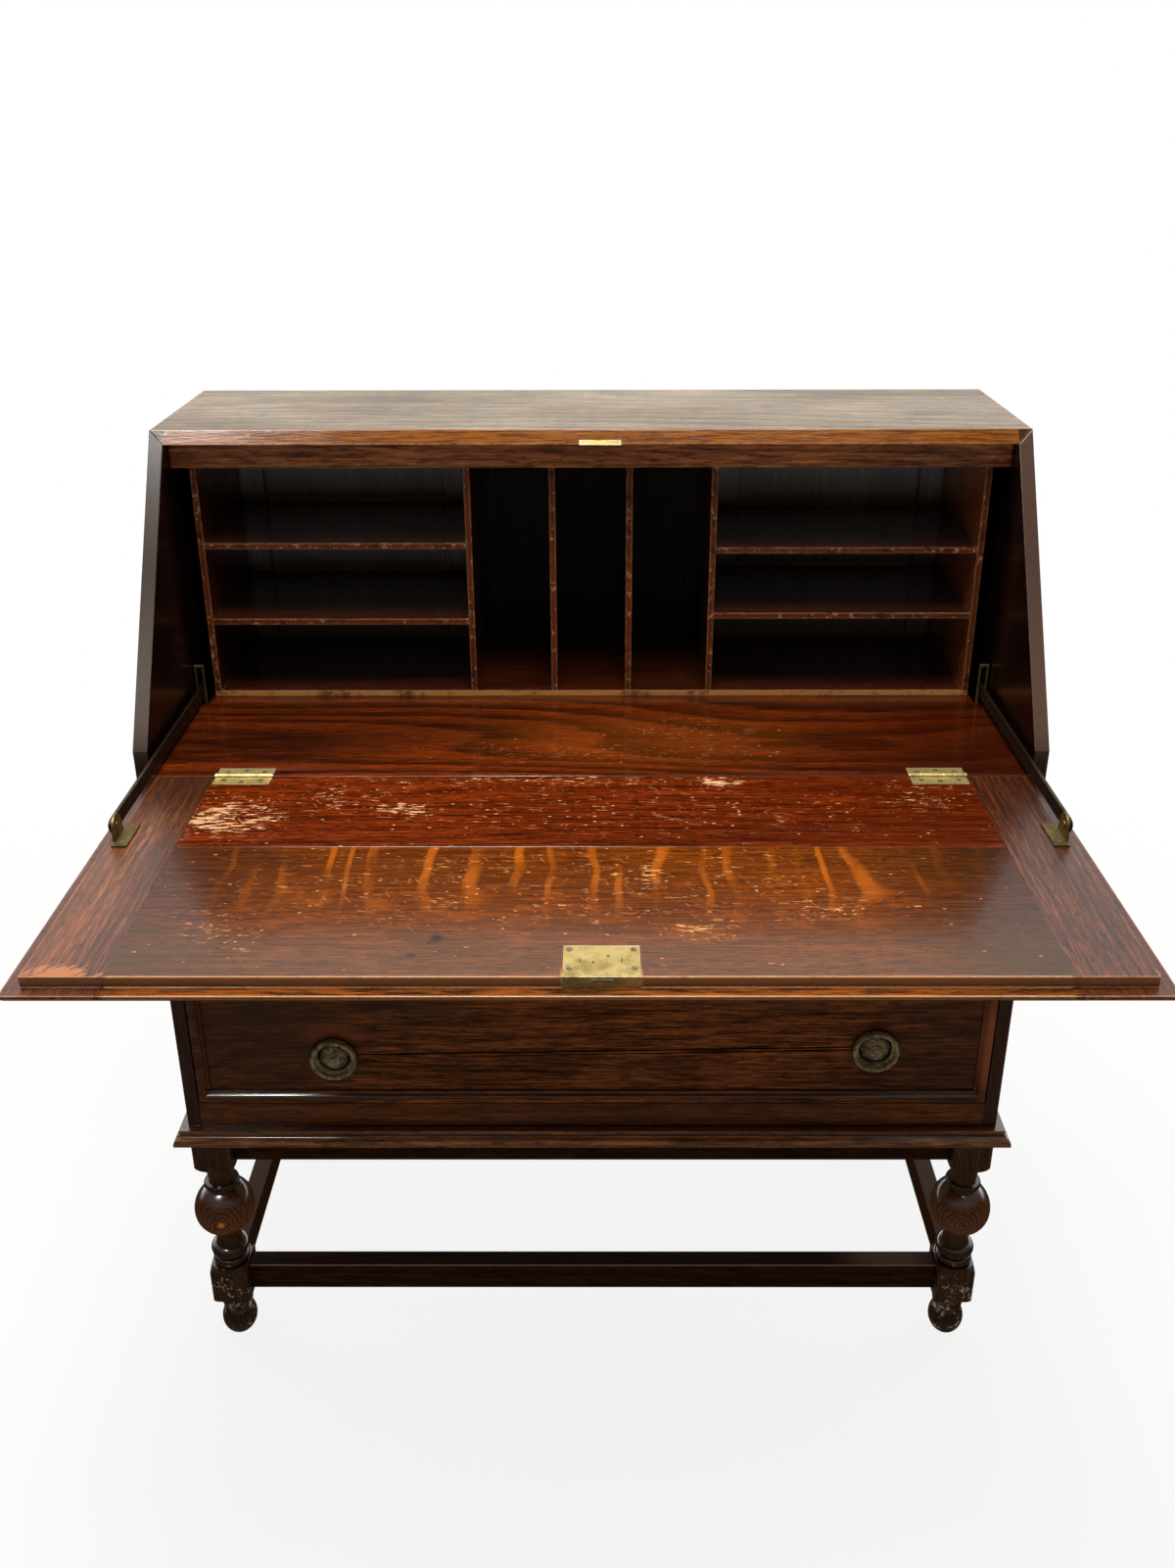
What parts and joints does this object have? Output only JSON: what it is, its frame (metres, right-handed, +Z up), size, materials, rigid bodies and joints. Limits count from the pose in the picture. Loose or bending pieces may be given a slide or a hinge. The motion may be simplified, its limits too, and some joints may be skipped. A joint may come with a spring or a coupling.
{
  "type": "drop-front bureau",
  "caption": "Oak bureau with a hinged drop front on sliding stays over graduated drawers with ring pulls, pigeonholes inside, on turned ball legs joined by stretchers.",
  "frame": {"origin": "centre of the footprint of the bureau with its drop front open, on the floor", "axes": "+Z up, the front with the drawers faces -Y, +X to the right of someone facing the front"},
  "size_m": [0.945, 0.7607, 1.084],
  "materials": {
    "oak_case": "dark stained and polished, worn edges",
    "oak_top": "dark stained, faded and dull",
    "oak_bed": "red-brown stain, glossy polish",
    "oak_fall_rear": "red-brown stain, scratched polish",
    "oak_fall_figured": "dark brown, quarter-sawn ray figure",
    "oak_fall_stile": "red-brown, greyed polish",
    "oak_fitment": "dark stain, half gloss",
    "oak_back": "dark stain, dull",
    "oak_stand": "near-black stain, glossy",
    "oak_drawer": "dark brown stain, glossy",
    "plain_wood": "unpolished",
    "brass_bright": "worn bright brass",
    "brass_lock": "tarnished",
    "brass_stay": "dull olive patina",
    "brass_dark": "antique dark patina"
  },
  "bodies": {
    "carcass": {"side_left": "oak_case", "side_right": "oak_case", "top": "oak_top", "strike_plate": "brass_bright", "bed": "oak_bed", "header_rail": "oak_case", "bottom_rail": "oak_case", "drawer_rails": "oak_case", "drawer_runners": "plain_wood", "drawer_guides": "plain_wood", "back_frame": "oak_back", "back_panels": "oak_back", "base_moulding": "oak_case", "aprons": "oak_stand", "leg_front_left": "oak_stand", "leg_front_right": "oak_stand", "leg_back_left": "oak_stand", "leg_back_right": "oak_stand", "stretcher_front": "oak_stand", "stretchers_ends_and_back": "oak_stand", "fitment_bottom": "oak_fitment", "fitment_uprights": "oak_fitment", "fitment_shelves": "oak_fitment", "hinge_leaves_bed": "brass_bright", "hinge_pins": "brass_bright", "stay_keepers": "brass_stay"},
    "fall": {"fall_stile_left": "oak_fall_stile", "fall_stile_right": "oak_fall_stile", "fall_board_rear": "oak_fall_rear", "fall_board_front": "oak_fall_figured", "hinge_leaves_fall": "brass_bright", "lock_plate": "brass_bright", "lock_case": "brass_lock", "keyhole_escutcheon": "brass_bright", "stay_brackets": "brass_stay", "stay_pivots": "brass_stay"},
    "lock_bolt": {"lock_bolt": "brass_lock"},
    "stay_left": {"stay_bar_left": "brass_stay"},
    "stay_right": {"stay_bar_right": "brass_stay"},
    "drawer_lower": {"drawer_front_lower": "oak_drawer", "drawer_moulding_lower": "oak_drawer", "drawer_box_lower": "plain_wood", "drawer_bottom_lower": "plain_wood", "pull_plates_lower": "brass_dark"},
    "pull_ring_left_lower": {"pull_ring_left_lower": "brass_dark"},
    "pull_ring_right_lower": {"pull_ring_right_lower": "brass_dark"},
    "drawer_middle": {"drawer_front_middle": "oak_drawer", "drawer_moulding_middle": "oak_drawer", "drawer_box_middle": "plain_wood", "drawer_bottom_middle": "plain_wood", "pull_plates_middle": "brass_dark"},
    "pull_ring_left_middle": {"pull_ring_left_middle": "brass_dark"},
    "pull_ring_right_middle": {"pull_ring_right_middle": "brass_dark"},
    "drawer_upper": {"drawer_front_upper": "oak_drawer", "drawer_moulding_upper": "oak_drawer", "drawer_box_upper": "plain_wood", "drawer_bottom_upper": "plain_wood", "pull_plates_upper": "brass_dark"},
    "pull_ring_left_upper": {"pull_ring_left_upper": "brass_dark"},
    "pull_ring_right_upper": {"pull_ring_right_upper": "brass_dark"}
  },
  "joints": [
    {"name": "fall_hinge", "type": "hinge", "parent": "carcass", "child": "fall", "pos_m": [0, -0.02738, 0.775], "axis": [-1, 0, 0], "range_deg": [0, 121.93]},
    {"name": "stay_left_pivot", "type": "hinge", "parent": "fall", "child": "stay_left", "pos_m": [-0.4359, -0.15238, 0.789], "axis": [-1, 0, 0], "range_deg": [-82.3, 0]},
    {"name": "stay_right_pivot", "type": "hinge", "parent": "fall", "child": "stay_right", "pos_m": [0.4359, -0.15238, 0.789], "axis": [-1, 0, 0], "range_deg": [-82.3, 0]},
    {"name": "lock_bolt_slide", "type": "slide", "parent": "fall", "child": "lock_bolt", "axis": [0, -1, 0], "range_m": [0, 0.006]},
    {"name": "drawer_lower_slide", "type": "slide", "parent": "carcass", "child": "drawer_lower", "axis": [0, -1, 0], "range_m": [0, 0.26]},
    {"name": "pull_ring_left_lower_swing", "type": "hinge", "parent": "drawer_lower", "child": "pull_ring_left_lower", "pos_m": [-0.286, -0.02324, 0.4439], "axis": [-1, 0, 0], "range_deg": [0, 85]},
    {"name": "pull_ring_right_lower_swing", "type": "hinge", "parent": "drawer_lower", "child": "pull_ring_right_lower", "pos_m": [0.314, -0.02324, 0.4549], "axis": [-1, 0, 0], "range_deg": [0, 85]},
    {"name": "drawer_middle_slide", "type": "slide", "parent": "carcass", "child": "drawer_middle", "axis": [0, -1, 0], "range_m": [0, 0.26]},
    {"name": "pull_ring_left_middle_swing", "type": "hinge", "parent": "drawer_middle", "child": "pull_ring_left_middle", "pos_m": [-0.286, -0.02324, 0.5939], "axis": [-1, 0, 0], "range_deg": [0, 85]},
    {"name": "pull_ring_right_middle_swing", "type": "hinge", "parent": "drawer_middle", "child": "pull_ring_right_middle", "pos_m": [0.314, -0.02324, 0.6049], "axis": [-1, 0, 0], "range_deg": [0, 85]},
    {"name": "drawer_upper_slide", "type": "slide", "parent": "carcass", "child": "drawer_upper", "axis": [0, -1, 0], "range_m": [0, 0.26]},
    {"name": "pull_ring_left_upper_swing", "type": "hinge", "parent": "drawer_upper", "child": "pull_ring_left_upper", "pos_m": [-0.286, -0.02324, 0.7259], "axis": [-1, 0, 0], "range_deg": [0, 85]},
    {"name": "pull_ring_right_upper_swing", "type": "hinge", "parent": "drawer_upper", "child": "pull_ring_right_upper", "pos_m": [0.314, -0.02324, 0.7274], "axis": [-1, 0, 0], "range_deg": [0, 85]}
  ],
  "couplings": [
    {"joint": "stay_left_pivot", "follows": "fall_hinge", "ratio": -0.675},
    {"joint": "stay_right_pivot", "follows": "fall_hinge", "ratio": -0.675}
  ]
}
